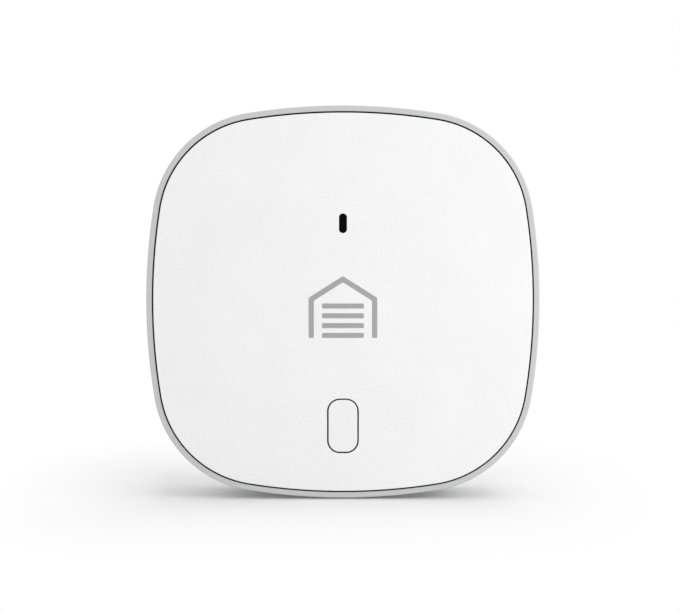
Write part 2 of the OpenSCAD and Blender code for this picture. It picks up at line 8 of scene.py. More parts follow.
import bpy
from bpy.props import FloatProperty, FloatVectorProperty, PointerProperty
from bpy.types import Operator, Panel, PropertyGroup
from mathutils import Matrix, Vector


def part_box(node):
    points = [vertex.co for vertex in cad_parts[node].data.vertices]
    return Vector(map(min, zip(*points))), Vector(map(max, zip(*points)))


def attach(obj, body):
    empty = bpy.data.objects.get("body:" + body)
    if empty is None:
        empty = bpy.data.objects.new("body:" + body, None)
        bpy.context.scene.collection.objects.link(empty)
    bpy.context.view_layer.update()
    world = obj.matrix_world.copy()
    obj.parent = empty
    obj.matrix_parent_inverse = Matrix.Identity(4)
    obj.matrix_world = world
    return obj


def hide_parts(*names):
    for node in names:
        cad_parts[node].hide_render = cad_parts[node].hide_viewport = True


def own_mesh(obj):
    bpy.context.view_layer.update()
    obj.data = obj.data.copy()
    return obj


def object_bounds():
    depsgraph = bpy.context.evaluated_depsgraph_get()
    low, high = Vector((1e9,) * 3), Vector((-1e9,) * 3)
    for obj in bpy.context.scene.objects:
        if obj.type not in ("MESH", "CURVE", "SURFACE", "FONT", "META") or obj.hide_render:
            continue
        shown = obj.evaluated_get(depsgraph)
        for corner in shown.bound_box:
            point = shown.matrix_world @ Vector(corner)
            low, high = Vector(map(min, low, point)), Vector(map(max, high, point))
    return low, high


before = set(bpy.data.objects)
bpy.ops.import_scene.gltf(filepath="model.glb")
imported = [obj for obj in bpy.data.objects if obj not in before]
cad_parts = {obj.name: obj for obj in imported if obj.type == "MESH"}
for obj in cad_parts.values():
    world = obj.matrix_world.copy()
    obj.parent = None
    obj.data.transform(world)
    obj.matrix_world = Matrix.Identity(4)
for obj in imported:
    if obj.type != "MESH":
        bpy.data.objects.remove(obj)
CAD_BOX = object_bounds()

bl_info = {
    "name": "Garage Door Controller",
    "version": (1, 0, 0),
    "blender": (4, 5, 0),
    "location": "View3D > Sidebar > Controller",
    "description": "Models the outer pieces of a garage door controller and gives every piece its finish",
    "category": "Object",
}

MM = 0.001
TINY = 1e-6
AXES = "xyz"
SMOOTH_ANGLE = math.radians(32)

# Levels and places in the frame
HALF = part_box("rim_housing")[1].x
TOP = CAD_BOX[1].z
MIDDLE = (CAD_BOX[0].z + TOP) / 2
RIM_Y, SEAM_Y = (corner.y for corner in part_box("rim_housing"))
FACE_Y, JOINT_Y = (corner.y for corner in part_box("face_plate"))
SEAL_Y, LEDGE_Y = (corner.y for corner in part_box("face_seal"))
BOARD_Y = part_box("circuit_board")[0].y
BACK_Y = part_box("rear_cover")[1].y
FACE_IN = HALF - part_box("face_plate")[1].x
ROLL = BACK_Y - SEAM_Y
SCREW_HEAD = 2.6 * MM
SCREW_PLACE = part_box("rear_screws")[1].x - SCREW_HEAD

# Sizes that more than one piece needs
FLAT_IN = ROLL + 4.5 * MM   # inset at which the sections of the back end
LATCH_UP = 7 * MM           # height of the latch bump above the bracket's foot
ROOT = 0.5 * MM             # depth that a boss or a bore reaches into the face
PAST = 1 * MM               # reach of a cutter past what it cuts

# Steps and sides that round shapes are divided into
SIDE_STEPS = 29
CORNER_STEPS = 40
ROLL_STEPS = 20
ROUND_STEPS = 10
RIM_STEPS = 8
FACE_STEPS = 6
EDGE_STEPS = 4
PIN_SIDES = 64
BORE_SIDES = 32
SHANK_SIDES = 24
DOME_SIDES = 48


def number(name, description, default, **kind):
    """Property for a number."""
    return FloatProperty(name=name, description=description, default=default, **kind)


def length(name, description, default):
    """Property for a length, with its default in millimetres."""
    return number(name, description, default * MM, min=0, unit="LENGTH", precision=5)


def angle(name, description, default):
    """Property for an angle, with its default in degrees."""
    return number(name, description, math.radians(default), subtype="ANGLE")


def tint(name, description, default):
    """Property for a surface's colour."""
    return FloatVectorProperty(
        name=name, description=description, default=default, size=3, min=0, max=1, subtype="COLOR")


class HubSizes(PropertyGroup):
    """Sizes of the hub's outer pieces"""

    bow: angle("Bow", "Half of the angle that each bowed side spans", 9.2171)
    corner: length("Corner", "Distance of each corner arc's centre from both middle lines", 18.544)
    wall: length("Wall", "Thickness of the rim's and the back shell's wall", 2.2)
    rim_width: length("Rim width", "Width of the rim that shows round the face", 1.34)
    rim_round: length("Rim round", "Radius on the rim's front edge", 0.3)
    rim_inner: length("Rim inner round", "Radius on the rim's edge beside the gap", 0.06)
    ledge: length("Ledge", "Reach of the ledge that carries the seal", 2.2)
    ledge_thick: length("Ledge thickness", "Thickness of the ledge that carries the seal", 1.6)
    seam: length("Seam", "Chamfer on both sides of the seam round the hub", 0.25)
    face_round: length("Face round", "Radius on the edge of the face", 0.15)
    face_hole: length("Face hole round", "Chamfer on the holes in the face", 0.04)
    skirt: length("Skirt", "Thickness of the skirt behind the face", 1.4)
    skirt_drop: length("Skirt drop", "Reach of the skirt past the ledge", 1.6)
    tower: length("Tower", "Radius of the towers that the rear screws join", 3.8)
    boss: length("Boss", "Radius of the bosses that carry the circuit board", 2.9)
    # The seal is a gasket under the face; its near-black lip in the gap darkens the gap line as painted
    # shade.
    seal_lip: length("Seal lip", "Depth of the seal's lip below the rim", 0.2)
    button_flange: length("Button flange", "Reach of the flange round the button's foot", 1.4)
    button_round: length("Button round", "Corner radius of the button", 2.7)
    button_edge: length("Button edge", "Radius on the button's front edge", 0.2)
    button_gap: length("Button gap", "Gap round the button", 0.36)
    # The ring below is a black ring of painted shade in the gap round the button.
    ring_width: length("Ring width", "Width of the dust ring round the button", 0.24)
    ring_depth: length("Ring depth", "Depth of the dust ring below the face", 0.6)
    lens_flange: length("Lens flange", "Reach of the flange behind the status lens", 1.2)
    port_width: length("Port width", "Width of the recess for the plug", 12.4)
    port_height: length("Port height", "Height of the recess for the plug", 7)
    port_round: length("Port round", "Corner radius of the recess for the plug", 2.4)
    port_wall: length("Port wall", "Thickness of the wall behind the recess", 1.6)


class BracketSizes(PropertyGroup):
    """Sizes of the wall bracket and of the pocket that it slides in"""

    reach: length("Flange reach", "Reach of each flange behind the hub's lips", 2)
    flange: length("Flange thickness", "Thickness of the bracket's flanges", 1.25)
    corner: length("Bracket corner", "Corner radius of the bracket", 4)
    edge: length("Bracket edge", "Radius on the bracket's edges", 0.3)
    fit: length("Fit", "Clearance between the bracket and the hub", 0.2)
    pocket_wall: length("Pocket wall", "Thickness of the pocket's walls", 1.8)
    tongue_slot: length("Tongue slot", "Width of the slot on each side of the latch tongue", 1.2)
    tongue: length("Tongue", "Thickness of the latch tongue", 1.6)


class Finishes(PropertyGroup):
    """Colours of the outer pieces"""

    face: tint("Face", "Colour of the face", (0.86, 0.86, 0.862))
    button: tint("Button", "Colour of the button", (0.85, 0.85, 0.852))
    rim: tint("Rim", "Colour of the rim", (0.55, 0.557, 0.572))
    cover: tint("Back", "Colour of the back shell", (0.8, 0.803, 0.81))
    bracket: tint("Bracket", "Colour of the wall bracket", (0.78, 0.782, 0.788))
    print: tint("Print", "Colour of the print on the face", (0.36, 0.36, 0.37))
    board: tint("Board", "Colour of the circuit boards", (0.02, 0.15, 0.06))
    floor: tint("Floor", "Colour of the floor", (0.7, 0.7, 0.7))


class StageSettings(PropertyGroup):
    """Camera, lights and floor"""

    distance: length("Camera distance", "Distance from the camera to the rim", 620)
    elevation: angle("Camera elevation", "Angle of the camera above the floor", 4.4)
    lens: number("Focal length", "Focal length on a 36 mm sensor, in millimetres", 137.4, min=1)
    aim_left: length("Aim left", "How far left of the hub's middle the camera is", 0.7)
    aim_low: length("Aim low", "How far below the hub's middle the camera looks", 1.02)
    key: number("Key light", "Power of the light on the right, in watts", 0.42, min=0, unit="POWER")
    fill: number("Fill", "Strength of the even white light all round", 1.0, min=0)
    # The floor's lift is a painted glow, and its fade leaves a painted soft shadow round the hub, centred a
    # little left of it.
    lift: number("Floor lift", "How much paler than its colour the floor looks", 0.114, min=0)
    fade_left: length("Fade left", "How far left of the hub's middle the floor's fade is centred", 4)
    fade_side: length("Fade side", "Distance to each side at which the floor begins to fade", 39.8)
    fade_front: length("Fade front", "Distance to the front at which the floor begins to fade", 26)
    fade_width: length("Fade width", "Width of the floor's fade to white", 76)
    floor_size: length("Floor size", "Width of the floor", 6000)
    floor_drop: length("Floor drop", "Depth of the floor under the hub", 0.3)


# Modelling helpers

def mm(*values):
    """Lengths given in millimetres."""
    return [value * MM for value in values]


def activate(piece, *others):
    """Selects only these pieces, with the first one active."""
    bpy.ops.object.select_all(action="DESELECT")
    for each in (piece, *others):
        each.select_set(True)
    bpy.context.view_layer.objects.active = piece


def mode(name):
    """Goes to edit mode or back to object mode."""
    bpy.ops.object.mode_set(mode=name)


def edit_all():
    """Opens the active piece for editing with all of it selected."""
    mode("EDIT")
    bpy.ops.mesh.select_all(action="SELECT")


def close(piece):
    """Merges doubles, turns every face outwards and leaves edit mode."""
    edit_all()
    bpy.ops.mesh.remove_doubles(threshold=TINY)
    bpy.ops.mesh.normals_make_consistent(inside=False)
    mode("OBJECT")
    return piece


def pick(piece, kind, test):
    """Opens a piece for editing with only those edges or faces selected that pass the test.

    The test gets an edge's middle and run, or a face's middle and normal."""
    mesh = piece.data
    mode("EDIT")
    bpy.ops.mesh.select_mode(type=kind)
    bpy.ops.mesh.select_all(action="DESELECT")
    mode("OBJECT")
    if kind == "EDGE":
        for edge in mesh.edges:
            start, end = (mesh.vertices[i].co for i in edge.vertices)
            edge.select = test((start + end) / 2, end - start)
    else:
        for face in mesh.polygons:
            face.select = test(face.center, face.normal)
    mode("EDIT")


def round_edges(piece, radius, steps, test):
    """Rounds those edges of a piece that pass the test."""
    pick(piece, "EDGE", test)
    bpy.ops.mesh.bevel(offset=radius, segments=steps, affect="EDGES")
    return close(piece)


def modify(piece, kind, **settings):
    """Adds a modifier to the active piece, and applies it."""
    bpy.ops.object.modifier_add(type=kind)
    modifier = piece.modifiers[-1]
    for key, value in settings.items():
        setattr(modifier, key, value)
    bpy.ops.object.modifier_apply(modifier=modifier.name)


def named(name):
    """Names the piece that was just added, and puts its place in its mesh."""
    bpy.ops.object.transform_apply(location=True, rotation=True, scale=True)
    piece = bpy.context.object
    piece.name = piece.data.name = name
    return piece


def add_shape(name, primitive, **settings):
    """Adds a primitive as the only selected piece."""
    bpy.ops.object.select_all(action="DESELECT")
    primitive(**settings)
    return named(name)


def soften(corners, steps=EDGE_STEPS):
    """Points of a section whose corners are rounded; each corner is inset, y and radius."""
    points = []
    for before, corner, after in zip(corners[-1:] + corners[:-1], corners, corners[1:] + corners[:1]):
        place, radius = Vector(corner[:2]), corner[2]
        if not radius:
            points.append(place)
            continue
        back = (Vector(before[:2]) - place).normalized() * radius
        ahead = (Vector(after[:2]) - place).normalized() * radius
        for i in range(steps + 1):
            turn = math.pi / 2 * i / steps
            points.append(place + (1 - math.sin(turn)) * back + (1 - math.cos(turn)) * ahead)
    return points


def spin_outline(name, section, closed=True):
    """Spins a section round the eight arcs of the hub's outline, and fills the middle of an open one."""
    sizes = bpy.context.scene.hub_sizes
    bow, reach = sizes.bow, sizes.corner
    side_centre = reach / math.tan(bow) - reach
    side_radius = HALF + side_centre
    piece = add_shape(name, bpy.ops.mesh.primitive_circle_add, vertices=len(section), radius=HALF)
    for vertex, (inset, y) in zip(piece.data.vertices, section):
        run = side_radius - inset
        vertex.co = (run * math.cos(bow) - side_centre, y, MIDDLE - run * math.sin(bow))
    if not closed:
        opening = (piece.data.vertices[0].co + piece.data.vertices[-1].co) / 2
        pick(piece, "EDGE", lambda middle, run: (middle - opening).length < TINY)
        bpy.ops.mesh.delete(type="EDGE_FACE")
    edit_all()
    for quarter in range(4):
        turn = quarter * math.pi / 2
        for x, z, angle, steps in ((-side_centre, 0, 2 * bow, SIDE_STEPS),
                                   (reach, reach, math.pi / 2 - 2 * bow, CORNER_STEPS)):
            centre = (x * math.cos(turn) - z * math.sin(turn), 0,
                      MIDDLE + x * math.sin(turn) + z * math.cos(turn))
            bpy.ops.mesh.spin(steps=steps, angle=angle, center=centre, axis=(0, 1, 0))
    close(piece)
    if not closed:
        edit_all()
        bpy.ops.mesh.fill_holes(sides=0)
        close(piece)
    return piece


def add_block(name, low, high, axis="y", corner=0.0, edge=0.0, ends=(True, True)):
    """Box between two corners, with the edges along its axis rounded by corner and its end rims by edge."""
    low, high = Vector(low), Vector(high)
    size = high - low
    i = AXES.index(axis)
    piece = add_shape(name, bpy.ops.mesh.primitive_cube_add, size=1, location=(low + high) / 2, scale=size)
    if corner:
        round_edges(piece, corner, ROUND_STEPS, lambda middle, run: abs(run[i]) > size[i] / 2)
    if edge:
        rims = [level[i] for level, wanted in zip((low, high), ends) if wanted]
        round_edges(piece, edge, EDGE_STEPS, lambda middle, run: abs(run[i]) < TINY
                    and any(abs(middle[i] - rim) < TINY for rim in rims))
    return piece


def front_block(name, box, trim, y_low, y_high, **rounding):
    """Block between two levels, as wide and high as a node's box less a trim on every side."""
    low, high = box
    return add_block(
        name, (low.x + trim, y_low, low.z + trim), (high.x - trim, y_high, high.z - trim), **rounding)


def slot_round(box, trim):
    """Corner radius that makes a trimmed slot's ends round."""
    share = 0.98
    return share * ((box[1].x - box[0].x) / 2 - trim)


def add_pin(name, x, z, radius, y_low, y_high, sides=PIN_SIDES):
    """Round pin along y."""
    return add_shape(
        name, bpy.ops.mesh.primitive_cylinder_add, vertices=sides, radius=radius, depth=y_high - y_low,
        location=(x, (y_low + y_high) / 2, z), rotation=(math.pi / 2, 0, 0))


def extrude_end(piece, axis, way, distance, grow=0.0):
    """Extrudes the end face of a piece along an axis, and widens it by grow on every side."""
    i = AXES.index(axis)
    end = max(way * vertex.co[i] for vertex in piece.data.vertices)
    ends = [vertex.co.copy() for vertex in piece.data.vertices if way * vertex.co[i] > end - TINY]
    low, high = (Vector([side(co[k] for co in ends) for k in range(3)]) for side in (min, max))
    move = Vector((0, 0, 0))
    move[i] = way * distance
    pick(piece, "FACE", lambda middle, normal: way * middle[i] > end - TINY)
    bpy.ops.mesh.extrude_region_move(TRANSFORM_OT_translate={"value": move})
    if grow:
        scale = [1 if k == i else 1 + 2 * grow / (high[k] - low[k]) for k in range(3)]
        bpy.ops.transform.resize(value=scale, center_override=(low + high) / 2 + move)
    mode("OBJECT")
    return piece


def flare(cutter, axis, way, width):
    """Opens the mouth of a cutter by a chamfer, and carries it on past the face that it cuts."""
    extrude_end(cutter, axis, way, width, width)
    return extrude_end(cutter, axis, way, PAST)


def combine(piece, other, operation):
    """Applies a Boolean operation to a piece with another, which is used up."""
    activate(piece)
    modify(piece, "BOOLEAN", operation=operation, solver="EXACT", object=other)
    bpy.data.objects.remove(other)
    return piece


def weld(piece, other):
    """Makes another piece a part of this one."""
    return combine(piece, other, "UNION")


def cut(piece, cutter):
    """Cuts another piece out of this one."""
    return combine(piece, cutter, "DIFFERENCE")


def copy_to(piece, x, z):
    """Copy of a piece, with its own mesh, moved across and up."""
    activate(piece)
    bpy.ops.object.duplicate()
    bpy.ops.transform.translate(value=(x, 0, z))
    return named(piece.name + "_copy")


def join(piece, others):
    """Puts other pieces into the mesh of this one."""
    activate(piece, *others)
    bpy.ops.object.join()


def at_corners(x, z):
    """The four places at this distance from both middle lines."""
    return [(across * x, MIDDLE + up * z) for across in (-1, 1) for up in (-1, 1)]


def dress(piece, material, body, slot, *nodes):
    """Cleans and shades a finished piece, gives it its material, and lets it stand for its nodes."""
    activate(piece)
    edit_all()
    bpy.ops.mesh.dissolve_degenerate(threshold=TINY)
    mode("OBJECT")
    bpy.ops.object.shade_smooth_by_angle(angle=SMOOTH_ANGLE)
    modify(piece, "WEIGHTED_NORMAL", keep_sharp=True)
    piece.data.materials.clear()
    piece.data.materials.append(finish(material))
    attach(piece, body)
    if nodes:
        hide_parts(*nodes)


def paint(material, *nodes):
    """Gives nodes that keep their shape their material."""
    for node in nodes:
        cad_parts[node].material_slots[0].material = finish(material)


# Materials

# Colour or the setting that holds it, grain cells a metre, roughness from and to, grain depth in millimetres,
# spread of the tone and, where it isn't the usual one, the specular level
PLASTICS = {
    "rim_satin": ("rim", 1600, (0.36, 0.5), 0.01, 0.05),
    "face_texture": ("face", 1700, (0.5, 0.68), 0.03, 0.13),
    "face_ink": ("print", 2600, (0.42, 0.55), 0.012, 0.03),
    "button_texture": ("button", 2300, (0.46, 0.6), 0.02, 0.05),
    "cover_texture": ("cover", 1700, (0.48, 0.66), 0.03, 0.015),
    "bracket_texture": ("bracket", 1700, (0.46, 0.62), 0.03, 0.015),
    "solder_mask": ("board", 900, (0.22, 0.36), 0.004, 0.1),
    "floor_white": ("floor", 40, (0.5, 0.6), 0.0, 0.004, 0.2),
    # Near-black rubber, for the seal and for the ring round the button; in the gaps it is painted shade.
    "seal_rubber": ((0.005, 0.005, 0.005), 1500, (0.75, 0.9), 0.03, 0.2, 0.12),
    "lens_black": ((0.002, 0.002, 0.0022), 1200, (0.1, 0.16), 0.002, 0.2, 0.03),
    "black_moulding": ((0.018, 0.018, 0.019), 1800, (0.42, 0.6), 0.02, 0.15),
    "chip_resin": ((0.022, 0.022, 0.024), 3200, (0.5, 0.7), 0.015, 0.15),
    "lamp_body": ((0.8, 0.72, 0.36), 2200, (0.2, 0.34), 0.01, 0.12),
    "ceramic": ((0.38, 0.25, 0.14), 2600, (0.3, 0.45), 0.01, 0.1),
    "coil_ferrite": ((0.05, 0.05, 0.055), 1400, (0.55, 0.75), 0.05, 0.2),
}
# Colour, lines a metre, roughness from and to, depth of the lines in millimetres
METALS = {
    "tinned_steel": ((0.62, 0.62, 0.63), 1500, (0.18, 0.34), 0.004),
    "gold_plate": ((0.78, 0.52, 0.2), 1500, (0.16, 0.3), 0.003),
    "zinc_plate": ((0.56, 0.57, 0.58), 900, (0.25, 0.42), 0.006),
    "drawn_aluminium": ((0.68, 0.69, 0.7), 700, (0.22, 0.38), 0.004),
    "disc_brass": ((0.7, 0.5, 0.2), 600, (0.2, 0.36), 0.004),
    "spring_steel": ((0.5, 0.5, 0.51), 2400, (0.15, 0.28), 0.002),
}


def feed(tree, node, *values, **names):
    """Feeds a node's inputs: values in their order, and names with underscores for spaces.

    A socket is linked, and an input whose value is None stays as it is."""
    by_name = [(node.inputs[name.replace("_", " ")], value) for name, value in names.items()]
    for entry, value in [*zip(node.inputs, values), *by_name]:
        if isinstance(value, bpy.types.NodeSocket):
            tree.links.new(value, entry)
        elif value is not None:
            entry.default_value = value


def add_node(tree, kind, *values, **names):
    """Adds a shader node, feeds it, and gives its outputs. Names in lower case are its settings."""
    node = tree.nodes.new("ShaderNode" + kind)
    for name in [name for name in names if name.islower()]:
        setattr(node, name, names.pop(name))
    feed(tree, node, *values, **names)
    return node.outputs


def place_on(tree):
    """Socket with the place on the piece."""
    return add_node(tree, "TexCoord")["Object"]


def mix_colours(tree, factor, first, second):
    """Socket with a mix of two colours."""
    skipped = [None] * 5   # inputs for numbers and vectors
    return add_node(tree, "Mix", factor, *skipped, first, second, data_type="RGBA")[2]


def new_group(name, scale):
    """Starts a node group that takes a vector and a scale, and gives it with their sockets."""
    group = bpy.data.node_groups.new(name, "ShaderNodeTree")
    group.interface.new_socket("Vector", in_out="INPUT", socket_type="NodeSocketVector")
    for label, way in ((scale, "INPUT"), ("Height", "OUTPUT"), ("Gloss", "OUTPUT"), ("Tone", "OUTPUT")):
        group.interface.new_socket(label, in_out=way, socket_type="NodeSocketFloat")
    start = group.nodes.new("NodeGroupInput")
    return group, start.outputs["Vector"], start.outputs[scale]


def moulded_grain():
    """Group for the spark-eroded grain of moulded plastic, whose tone follows the fine grain so that low
    spots are darker as painted shade in the pits, with faint clouds of random tone.
    """
    group, vector, grain = new_group("moulded_grain", "Grain")
    fine = add_node(group, "TexNoise", vector, Scale=grain, Detail=3.0, Roughness=0.6)[0]
    pits = add_node(group, "TexVoronoi", vector, Scale=grain, Randomness=1.0)[0]
    clouds = add_node(group, "TexNoise", vector, Scale=70.0, Detail=2.0)[0]
    pit_share, fine_share = 0.35, 0.75
    height = add_node(group, "Mix", pit_share, None, fine, pits)[0]
    # The tone follows the fine grain of the bump, so it is painted shade in the pits, mixed with clouds of
    # random tone.
    tone = add_node(group, "Mix", fine_share, None, clouds, fine)[0]
    feed(group, group.nodes.new("NodeGroupOutput"), height, fine, tone)
    return group


def drawn_lines():
    """Group for the fine lines that rolling and drawing leave on metal."""
    group, vector, pitch = new_group("drawn_lines", "Lines")
    stretched = add_node(group, "Mapping", vector, Scale=(1.0, 1.0, 0.06))[0]
    lines = add_node(group, "TexNoise", stretched, Scale=pitch, Detail=4.0)[0]
    stains = add_node(group, "TexNoise", vector, Scale=400.0, Detail=3.0)[0]
    feed(group, group.nodes.new("NodeGroupOutput"), lines, lines, stains)
    return group


def surface(name, make_group, scale, colours, gloss, depth, **plain):
    """Material whose colour, roughness and bump follow a group; plain values go on the shader itself."""
    material = bpy.data.materials.new(name)
    material.use_nodes = True
    tree = material.node_tree
    group = bpy.data.node_groups.get(make_group.__name__) or make_group()
    effect = add_node(tree, "Group", place_on(tree), scale, node_tree=group)
    dark, light = ((*colour, 1) for colour in colours)
    tone = mix_colours(tree, effect["Tone"], dark, light)
    rough = add_node(tree, "MapRange", effect["Gloss"], To_Min=gloss[0], To_Max=gloss[1])[0]
    bump = add_node(tree, "Bump", Height=effect["Height"], Distance=depth * MM)[0]
    shader = tree.nodes["Principled BSDF"]
    feed(tree, shader, Base_Color=tone, Roughness=rough, Normal=bump, **plain)
    return material


def shades(colour, spread):
    """A colour a little darker and a little lighter."""
    return [tuple(min(1, c * (1 + way * spread)) for c in colour) for way in (-1, 1)]


def plastic(name, colour, grain, gloss, depth, spread, specular=0.5):
    """Moulded plastic or rubber."""
    if isinstance(colour, str):
        colour = getattr(bpy.context.scene.finishes, colour)
    tones = shades(colour, spread)
    return surface(name, moulded_grain, grain, tones, gloss, depth, Specular_IOR_Level=specular)


def metal(name, colour, lines, gloss, depth):
    """Drawn, rolled or plated metal."""
    spread = 0.08
    return surface(name, drawn_lines, lines, shades(colour, spread), gloss, depth, Metallic=1.0)


def finish(name):
    """Material of that name, which is made at its first use if it is one of those listed above."""
    if name in bpy.data.materials:
        return bpy.data.materials[name]
    if name in PLASTICS:
        return plastic(name, *PLASTICS[name])
    return metal(name, *METALS[name])


# Outer pieces

class CONTROLLER_OT_rim(Operator):
    """Models the satin rim with its plug recess"""

    bl_idname = "controller.rim"
    bl_label = "Rim"

    def execute(self, context):
        sizes = context.scene.hub_sizes
        ledge_in = sizes.wall + sizes.ledge
        ledge_back = LEDGE_Y + sizes.ledge_thick
        soft = 0.2 * MM
        rim = spin_outline("satin_rim", soften([
            (0, SEAM_Y - sizes.seam, 0), (0, RIM_Y, sizes.rim_round),
            (sizes.rim_width, RIM_Y, sizes.rim_inner), (sizes.rim_width, LEDGE_Y, 0),
            (ledge_in, LEDGE_Y, soft), (ledge_in, ledge_back, soft), (sizes.wall, ledge_back, 0),
            (sizes.wall, SEAM_Y, 0), (sizes.seam, SEAM_Y, 0)], RIM_STEPS))
        self.port(rim, sizes)
        dress(rim, "rim_satin", "hub", "rim_grey", "rim_housing")
        return {"FINISHED"}

    def port(self, rim, sizes):
        """Block inside the wall, with the recess for the plug and the opening for the socket."""
        low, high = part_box("socket_shell")
        across, up = sizes.port_width / 2, sizes.port_height / 2
        middle = (low.y + high.y) / 2
        behind = low.x + sizes.port_wall
        root, side, edge, mouth = mm(1, 1.4, 1, 0.3)
        weld(rim, add_block("port_block", (root - HALF, middle - up - edge, MIDDLE - across - side),
                            (behind, middle + up + edge, MIDDLE + across + side)))
        recess = add_block("port_cut", (mouth - HALF, middle - up, MIDDLE - across),
                           (low.x, middle + up, MIDDLE + across), "x", sizes.port_round)
        cut(rim, flare(recess, "x", -1, mouth))
        gap, socket_round = mm(0.2, 0.9)
        socket_half = 3.75 * MM + gap
        cut(rim, add_block("socket_cut", (-HALF, low.y - gap, MIDDLE - socket_half),
                           (behind + root, high.y + gap, MIDDLE + socket_half), "x", socket_round))


class CONTROLLER_OT_face(Operator):
    """Models the face with its skirt, bosses, button hole and light slot"""

    bl_idname = "controller.face"
    bl_label = "Face"

    def execute(self, context):
        sizes = context.scene.hub_sizes
        face = self.panel(sizes)
        self.bosses(face, sizes)
        self.openings(face, sizes)
        dress(face, "face_texture", "hub", "face_white", "face_plate")
        return {"FINISHED"}

    def panel(self, sizes):
        """Flat panel with a rounded edge, and a skirt behind it."""
        fit, wide, soft = mm(0.2, 9, 0.3)
        skirt_in = sizes.wall + sizes.ledge + fit
        skirt_far = skirt_in + sizes.skirt
        skirt_end = LEDGE_Y + sizes.skirt_drop
        inside = FACE_IN + wide
        return spin_outline("face_panel", soften([
            (inside, FACE_Y, 0), (FACE_IN, FACE_Y, sizes.face_round), (FACE_IN, SEAL_Y, 0),
            (skirt_in, SEAL_Y, 0), (skirt_in, skirt_end, soft), (skirt_far, skirt_end, soft),
            (skirt_far, SEAL_Y, 0), (inside, SEAL_Y, 0)], FACE_STEPS), closed=False)

    def bosses(self, face, sizes):
        """Bosses with bores behind the face, for the rear screws and for the board screws."""
        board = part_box("board_screws")[1]
        head, rear_bore, board_bore = mm(2.3, 1.45, 1.15)
        for places, radius, end, bore in (
                (at_corners(SCREW_PLACE, SCREW_PLACE), sizes.tower, JOINT_Y, rear_bore),
                (at_corners(board.x - head, board.z - head - MIDDLE), sizes.boss, BOARD_Y, board_bore)):
            for x, z in places:
                weld(face, add_pin("boss", x, z, radius, SEAL_Y - ROOT, end))
                cut(face, add_pin("bore", x, z, bore, SEAL_Y + ROOT, end + PAST, BORE_SIDES))

    def openings(self, face, sizes):
        """Guide and hole for the button, and the slot for the status lens."""
        button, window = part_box("setup_button"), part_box("status_window")
        guide, fit, foot = 1.2 * MM, 0.25 * MM, SEAL_Y + 1.7 * MM
        corner, gap, edge = sizes.button_round, sizes.button_gap, sizes.face_hole
        weld(face, front_block("guide", button, -guide - fit, SEAL_Y - ROOT, foot, corner=corner + guide))
        cut(face, front_block("guide_cut", button, -fit, SEAL_Y, foot + PAST, corner=corner))
        for name, box, trim, turn in (
                ("button_cut", button, sizes.button_flange - gap, corner + gap),
                ("slot_cut", window, sizes.lens_flange, slot_round(window, sizes.lens_flange))):
            hole = front_block(name, box, trim, FACE_Y + edge, SEAL_Y + PAST, corner=turn)
            cut(face, flare(hole, "y", -1, edge))


class CONTROLLER_OT_print(Operator):
    """Prints a plain garage pictogram on the middle of the face"""

    bl_idname = "controller.print"
    bl_label = "Face print"

    def execute(self, context):
        half, base, eaves, ridge, line = mm(8.2, -7.4, 2.2, 7.4, 1.25)
        ink, soft = mm(0.02, 0.3)
        centre = MIDDLE - 1 * MM
        slope = math.atan2(ridge - eaves, half)
        drop = line / math.cos(slope)
        under = eaves - drop + line * math.tan(slope)
        outline = [(-half, base), (-half, eaves), (0, ridge), (half, eaves), (half, base),
                   (half - line, base), (half - line, under), (0, ridge - drop), (line - half, under),
                   (line - half, base)]
        house = add_shape("face_print", bpy.ops.mesh.primitive_circle_add, vertices=len(outline),
                          radius=half, fill_type="NGON")
        for vertex, (x, z) in zip(house.data.vertices, outline):
            vertex.co = (x, FACE_Y, centre + z)
        edit_all()
        bpy.ops.mesh.extrude_region_move(TRANSFORM_OT_translate={"value": (0, -ink, 0)})
        close(house)
        round_edges(house, soft, EDGE_STEPS, lambda middle, run: abs(run.y) > ink / 2)
        slats, slat_half, slat, pitch = 4, 5 * MM, 1.2 * MM, 2.35 * MM
        feet = [centre + base + i * pitch for i in range(slats)]
        join(house, [add_block("slat", (-slat_half, FACE_Y - ink, foot), (slat_half, FACE_Y, foot + slat),
                               corner=soft) for foot in feet])
        dress(house, "face_ink", "hub", "rim_grey")
        return {"FINISHED"}


